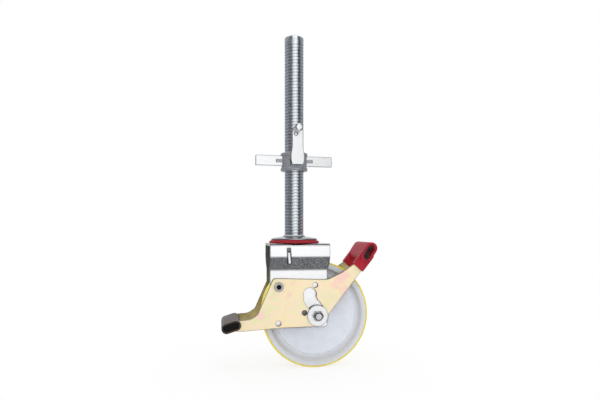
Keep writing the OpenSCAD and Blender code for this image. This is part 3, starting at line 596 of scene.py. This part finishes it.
# Here the edge line is lighter than the black moulding: a painted brown highlight along the rims.
edge_lines(tree, shader, 1.0 * MM, (0.15, 0.105, 0.08))
seal_red = moulding("seal_red", (0.26, 0.008, 0.016), (0.32, 0.012, 0.022), (0.40, 0.02, 0.03), 0.5)
dress(seal_red, "dust_seal")

# %% [markdown]
# ## Wheel
#
# The wheel's centre is moulded from white polyamide, which looks a little blue and waxy. The hollow beside the
# rim is greyed as painted shade, by a mask of the distance from the axle, deepest at its inner wall. A
# thin tyre of yellow polyurethane is cast round it, and only its edge shows from the side.

# %% Polyamide and polyurethane
polyamide = moulding("polyamide", (0.69, 0.72, 0.79), (0.73, 0.76, 0.83), (0.76, 0.79, 0.86), 0.42)
GROOVE_FROM, GROOVE_TO = 79 * MM, 99 * MM
tree = polyamide.node_tree
shader = tree.nodes["Principled BSDF"]
from_hub = tree.nodes.new("ShaderNodeVectorMath")
from_hub.operation = "MULTIPLY_ADD"
from_hub.inputs[1].default_value = (1, 0, 1)
hub = middle("wheel_centre")
from_hub.inputs[2].default_value = (-hub.x, 0, -hub.z)
tree.links.new(place(tree), from_hub.inputs[0])
radius = tree.nodes.new("ShaderNodeVectorMath")
radius.operation = "LENGTH"
tree.links.new(from_hub.outputs["Vector"], radius.inputs[0])
# Painted shade in the hollow beside the rim, found by the distance from the axle.
across_rim = levels(tree, radius.outputs["Value"], GROOVE_FROM, GROOVE_TO, 0, 1)
groove_shade = shades(tree, across_rim, [(0.0, (0, 0, 0)), (0.25, (0.8, 0.8, 0.8)), (0.6, (0.9, 0.9, 0.9)), (0.95, (0.3, 0.3, 0.3))])
unshaded = shader.inputs["Base Color"].links[0].from_socket
tree.links.new(mixed(tree, groove_shade, unshaded, (0.60, 0.60, 0.61)), shader.inputs["Base Color"])
dress(polyamide, "wheel_centre")
tyre = moulding("tyre_yellow", (0.80, 0.64, 0.03), (0.88, 0.72, 0.04), (0.92, 0.78, 0.08), 0.4)
dress(tyre, "tread")

# %% [markdown]
# ## Cast nut
#
# The height nut is a grey casting with the grainy skin of its sand mould under a dull plating.

# %% Casting skin
cast_grey, tree, shader = finish("cast_grey", 0.7, 0.55)
grit = clouds(tree, 420, detail=5, rough=0.7)
skin = shades(tree, grit, [(0.3, (0.32, 0.34, 0.365)), (0.5, (0.44, 0.465, 0.495)), (0.7, (0.58, 0.605, 0.64))])
tree.links.new(skin, shader.inputs["Base Color"])
relief(tree, shader, grit, 0.15 * MM, 0.6)
edge_lines(tree, shader, 1.0 * MM, (0.14, 0.15, 0.16))
dress(cast_grey, "adjusting_nut")

# %% [markdown]
# ## The spindle's thread
#
# The solid spindle has level ribs, which is enough for its size and weight. A real thread climbs. A helix can
# be made with a Screw modifier or by hand; by hand gives full control of the rounded crest and root. Each
# point of a tall grid round the axis gets its radius from how far along the thread it lies: the phase is the
# height in pitches less the turn. The thread fades out below the plain end that leads into the tube. The
# material works out the same phase once more, to darken the valleys: painted shade, and old grease.

# %% Helical thread
SPINDLE_R = (high("spindle").x - low("spindle").x) / 2
PITCH = 6 * MM
THREAD_DEPTH = 0.55 * MM
PLAIN_END = 14 * MM
END_CHAMFER = 2.5 * MM
ROUND_STEPS = 64
RISE_STEP = 0.5 * MM


def thread_dip(phase):
    """Depth under the crest, from 0 to 1, at a phase from 0 to 1: worn crests and round valleys make a wave."""
    return 0.5 - 0.5 * math.cos(2 * math.pi * phase)


def spindle_mesh():
    foot, top = low("spindle").z, high("spindle").z
    fade = top - PLAIN_END
    heights = [foot + i * RISE_STEP for i in range(int((fade + 2 * MM - foot) / RISE_STEP))]
    rows = []
    for z in heights:
        row = []
        for k in range(ROUND_STEPS):
            a = 2 * math.pi * k / ROUND_STEPS
            phase = (z / PITCH - k / ROUND_STEPS) % 1
            cut = min(1.0, max(0.0, (fade - z) / (2 * MM))) * min(1.0, max(0.0, (z - foot - 3 * MM) / (2 * MM)))
            r = SPINDLE_R - THREAD_DEPTH * thread_dip(phase) * cut
            row.append((r * math.cos(a), r * math.sin(a), z))
        rows.append(row)
    for r, z in ((SPINDLE_R, fade + 2 * MM), (SPINDLE_R, top - END_CHAMFER - 0.3 * MM), (SPINDLE_R - 0.2 * MM, top - END_CHAMFER),
                 (SPINDLE_R - END_CHAMFER, top - 0.2 * MM), (SPINDLE_R - END_CHAMFER - 0.4 * MM, top)):
        rows.append([(r * math.cos(2 * math.pi * k / ROUND_STEPS), r * math.sin(2 * math.pi * k / ROUND_STEPS), z)
                     for k in range(ROUND_STEPS)])
    points = [p for row in rows for p in row]
    faces = []
    for i in range(len(rows) - 1):
        for k in range(ROUND_STEPS):
            a, b = i * ROUND_STEPS + k, i * ROUND_STEPS + (k + 1) % ROUND_STEPS
            faces.append((a, b, b + ROUND_STEPS, a + ROUND_STEPS))
    faces.append(tuple(range(ROUND_STEPS))[::-1])
    faces.append(tuple((len(rows) - 1) * ROUND_STEPS + k for k in range(ROUND_STEPS)))
    mesh = bpy.data.meshes.new("threaded_spindle")
    mesh.from_pydata(points, [], faces)
    for face in mesh.polygons:
        face.use_smooth = len(face.vertices) == 4
    return mesh


def add_piece(name, mesh, material, body, *stands_for):
    """A new piece of the castor on one of its bodies."""
    piece = bpy.data.objects.new(name, mesh)
    bpy.context.collection.objects.link(piece)
    mesh.materials.append(material)
    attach(piece, body)
    if stands_for:
        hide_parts(*stands_for)
    print(name, "has", len(mesh.polygons), "faces and rides on", body)
    return piece


thread_zinc, tree, shader = finish("thread_zinc", 1.0, 0.24)
cloud = clouds(tree, 120, detail=4)
tree.links.new(shades(tree, cloud, [(0.3, (0.65, 0.70, 0.745)), (0.7, (0.79, 0.845, 0.89))]), shader.inputs["Base Color"])
tree.links.new(levels(tree, cloud, 0.3, 0.7, 0.2, 0.3), shader.inputs["Roughness"])
relief(tree, shader, clouds(tree, 500, detail=2), 0.004 * MM)
where = tree.nodes.new("ShaderNodeSeparateXYZ")
tree.links.new(place(tree), where.inputs["Vector"])


def worked_out(kind, *values):
    """A Math node of that kind, over sockets and plain numbers."""
    node = tree.nodes.new("ShaderNodeMath")
    node.operation = kind
    for value, socket in zip(values, node.inputs):
        if isinstance(value, (int, float)):
            socket.default_value = value
        else:
            tree.links.new(value, socket)
    return node.outputs[0]


# The valleys are painted darker: painted shade, with old grease.
turns = worked_out("DIVIDE", worked_out("ARCTAN2", where.outputs["Y"], where.outputs["X"]), 2 * math.pi)
along = worked_out("FRACT", worked_out("SUBTRACT", worked_out("DIVIDE", where.outputs["Z"], PITCH), turns))
from_valley = worked_out("ABSOLUTE", worked_out("SUBTRACT", along, 0.5))
threaded = levels(tree, where.outputs["Z"], high("spindle").z - PLAIN_END - 1 * MM, high("spindle").z - PLAIN_END, 1, 0)
valley_shade_and_grease = product(tree, levels(tree, from_valley, 0.05, 0.3, 0.6, 0), threaded)
zinc = shader.inputs["Base Color"].links[0].from_socket
tree.links.new(mixed(tree, valley_shade_and_grease, zinc, (0.20, 0.21, 0.23)), shader.inputs["Base Color"])
add_piece("threaded_spindle", spindle_mesh(), thread_zinc, "spindle_body", "spindle")

# %% [markdown]
# ## Weld at the spindle's foot
#
# The spindle is welded to the head plate all round. A hand-laid bead is a low ring with overlapping ripples,
# so its cross-section swells a little with every step of the welder's hand.

# %% Weld bead
def weld_mesh(ripples=34, around=204, across_steps=10):
    foot = low("spindle_weld").z
    reach = high("spindle_weld").x - SPINDLE_R
    mesh = bpy.data.meshes.new("weld_bead")
    points, faces = [], []
    for i in range(around):
        a = 2 * math.pi * i / around
        swell = 0.86 + 0.11 * abs(math.sin(ripples * a / 2)) + 0.03 * noise.noise((i * 0.35, 0.0, 0.0))
        for k in range(across_steps + 1):
            b = math.pi / 2 * k / across_steps
            out, up = reach * swell * math.cos(b), reach * swell * math.sin(b)
            bulge = 1 - 0.18 * math.sin(2 * b)
            r = SPINDLE_R - 0.4 * MM + out * bulge
            points.append((r * math.cos(a), r * math.sin(a), foot + up * bulge))
        points.append(((SPINDLE_R - 0.4 * MM) * math.cos(a), (SPINDLE_R - 0.4 * MM) * math.sin(a), foot))
    wide = across_steps + 2
    for i in range(around):
        here, after = i * wide, (i + 1) % around * wide
        faces += [(here + k, after + k, after + (k + 1) % wide, here + (k + 1) % wide) for k in range(wide)]
    mesh.from_pydata(points, [], faces)
    for face in mesh.polygons:
        face.use_smooth = True
    mesh.set_sharp_from_angle(angle=math.radians(60))
    return mesh


add_piece("weld_bead", weld_mesh(), bright_zinc, "spindle_body", "spindle_weld")

# %% [markdown]
# ## Head plate and seal
#
# The head plate is pressed to a shallow dome, which makes a thin plate stiff where the spindle pushes on its
# middle. The dust seal is a moulded ring under it. It bulges out past the plate's rim and then slopes back in
# under it, so that water runs off. The solids have plain square rims. These two rings are turned from the
# outlines in the photograph, and keep to the room that the solids have.

# %% A domed head plate and a seal with a sloping lip
TURN_STEPS = 144


def turned_mesh(name, outline):
    """Turns a closed outline of (radius, height) once round the spindle's axis."""
    count = len(outline)
    points, faces = [], []
    for k in range(TURN_STEPS):
        a = 2 * math.pi * k / TURN_STEPS
        points += [(r * math.cos(a), r * math.sin(a), z) for r, z in outline]
        here, after = k * count, (k + 1) % TURN_STEPS * count
        faces += [(here + i, after + i, after + (i + 1) % count, here + (i + 1) % count) for i in range(count)]
    mesh = bpy.data.meshes.new(name)
    mesh.from_pydata(points, [], faces)
    for face in mesh.polygons:
        face.use_smooth = True
    mesh.set_sharp_from_angle(angle=math.radians(35))
    return mesh


def raised(foot, outline):
    """The outline in millimetres, set at a height."""
    return [(r, foot + z * MM) for r, z in outline]


rim, bore = high("head_plate").x, 10.02 * MM
plate_foot, seal_foot = low("head_plate").z, low("dust_seal").z
dome = raised(plate_foot, [
    (bore, 0), (rim - 0.4 * MM, 0), (rim, 0.4), (rim, 1.6), (rim - 0.5 * MM, 2.1), (rim - 5 * MM, 3.2),
    (rim - 13 * MM, 4.6), (rim - 19 * MM, 5.5), (rim - 23 * MM, 6), (bore, 6)])
add_piece("domed_head_plate", turned_mesh("domed_head_plate", dome), dull_zinc, "spindle_body", "head_plate")
seal_r = high("dust_seal").x
lip = raised(seal_foot, [
    (rim - 6 * MM, 0), (seal_r - 1.2 * MM, 0), (seal_r - 0.35 * MM, 0.35), (seal_r, 1.2), (seal_r, 2.6),
    (seal_r - 0.3 * MM, 3.4), (seal_r - 1.0 * MM, 4.0), (rim + 0.8 * MM, 4.9), (rim - 0.6 * MM, 6.5),
    (rim - 6 * MM, 6.5)])
add_piece("lipped_seal", turned_mesh("lipped_seal", lip), seal_red, "spindle_body", "dust_seal")

# %% [markdown]
# ## Lock nut
#
# The axle's nut is a lock nut: a hexagon with its corners turned off to a cone, and a round collar that holds
# a nylon ring against the thread. It is drawn as rings of points round the axle. Where a ring belongs to the
# hexagon its radius swings out to the six corners, and the cone takes the more height off the further out a
# point lies.

# %% Nut with a nylon ring, and the bolt's end in it
NUT_SIDES = 6
NUT_STEPS = 72
HEXAGON_SHARE = 0.64
CONE = math.tan(math.radians(30))


def hexagon_reach(flat_r, a):
    """Distance from the middle to a hexagon's side, in the direction a."""
    sector = 2 * math.pi / NUT_SIDES
    return flat_r / math.cos((a + sector / 2) % sector - sector / 2)


def rings_mesh(name, rings, centre):
    """A closed skin through rings of points: each ring is a function of the turn that gives (radius, y)."""
    points, faces = [], []
    for ring in rings:
        for k in range(NUT_STEPS):
            a = 2 * math.pi * k / NUT_STEPS
            r, y = ring(a)
            points.append((centre.x + r * math.sin(a), y, centre.z + r * math.cos(a)))
    for i in range(len(rings)):
        for k in range(NUT_STEPS):
            here, after = i * NUT_STEPS, (i + 1) % len(rings) * NUT_STEPS
            step = (k + 1) % NUT_STEPS
            faces.append((here + k, after + k, after + step, here + step))
    mesh = bpy.data.meshes.new(name)
    mesh.from_pydata(points, [], faces)
    return mesh


def round_ring(r, y):
    return lambda a: (r, y)


nut_middle = middle("axle_nut")
nut_seat, nut_face = high("axle_nut").y, low("axle_nut").y
nut_size = high("axle_nut") - low("axle_nut")
FLAT_R = min(nut_size.x, nut_size.z) / 2
BOLT_R = 6 * MM
shoulder = nut_seat + (nut_face - nut_seat) * HEXAGON_SHARE
print("the nut is", round((nut_seat - nut_face) * 1000, 1), "mm thick and", round(FLAT_R * 2000, 1), "mm over its flats")
cone_start = FLAT_R * 0.94
nut_rings = [
    lambda a: (hexagon_reach(FLAT_R, a), nut_seat),
    lambda a: (hexagon_reach(FLAT_R, a), shoulder + (hexagon_reach(FLAT_R, a) - cone_start) * CONE),
    round_ring(cone_start, shoulder),
    round_ring(FLAT_R * 0.86, shoulder - 0.1 * MM),
    round_ring(FLAT_R * 0.84, nut_face + 1.2 * MM),
    round_ring(FLAT_R * 0.80, nut_face + 0.3 * MM),
    round_ring(FLAT_R * 0.76, nut_face),
    round_ring(BOLT_R + 0.9 * MM, nut_face + 0.2 * MM),
    round_ring(BOLT_R + 0.7 * MM, nut_face + 1.0 * MM),
    round_ring(BOLT_R + 0.1 * MM, nut_face + 1.2 * MM),
    round_ring(BOLT_R + 0.1 * MM, nut_seat)]
add_piece("lock_nut", rings_mesh("lock_nut", nut_rings, nut_middle), bright_zinc, "axle_body", "axle_nut")
nylon = moulding("nylon_ring", (0.03, 0.035, 0.045), (0.05, 0.055, 0.065), (0.08, 0.085, 0.095), 0.4)
nylon_rings = [
    round_ring(BOLT_R + 0.8 * MM, nut_face + 1.1 * MM), round_ring(BOLT_R + 0.8 * MM, nut_face + 0.9 * MM),
    round_ring(BOLT_R + 0.5 * MM, nut_face + 0.7 * MM), round_ring(BOLT_R + 0.05 * MM, nut_face + 0.8 * MM),
    round_ring(BOLT_R + 0.05 * MM, nut_face + 1.1 * MM)]
add_piece("nylon_ring", rings_mesh("nylon_ring", nylon_rings, nut_middle), nylon, "axle_body")

# %% [markdown]
# ## Softened edges
#
# No real edge is perfectly sharp: a cut sheet is tumbled, a casting is round, a washer is stamped. A narrow
# bevel on each solid catches a line of light, which is much of what makes metal look real.

# %% Narrow bevels on the solids
def soften(width, *names):
    for name in names:
        bevel = nodes[name].modifiers.new("edge", "BEVEL")
        bevel.width = width
        bevel.segments = 2
        bevel.limit_method = "ANGLE"
        bevel.angle_limit = math.radians(35)
        bevel.harden_normals = True
        for face in nodes[name].data.polygons:
            face.use_smooth = True


soften(0.5 * MM, "fork", "brake_plate_near", "brake_plate_far", "latch_plate", "axle_washers")
soften(0.8 * MM, "adjusting_nut", "nut_wings", "red_pedal", "black_pedal")
soften(0.3 * MM, "axle_nut", "axle_bolt", "pivot_screws", "lock_shoe", "wheel_centre", "latch_rivet", "locking_plunger")
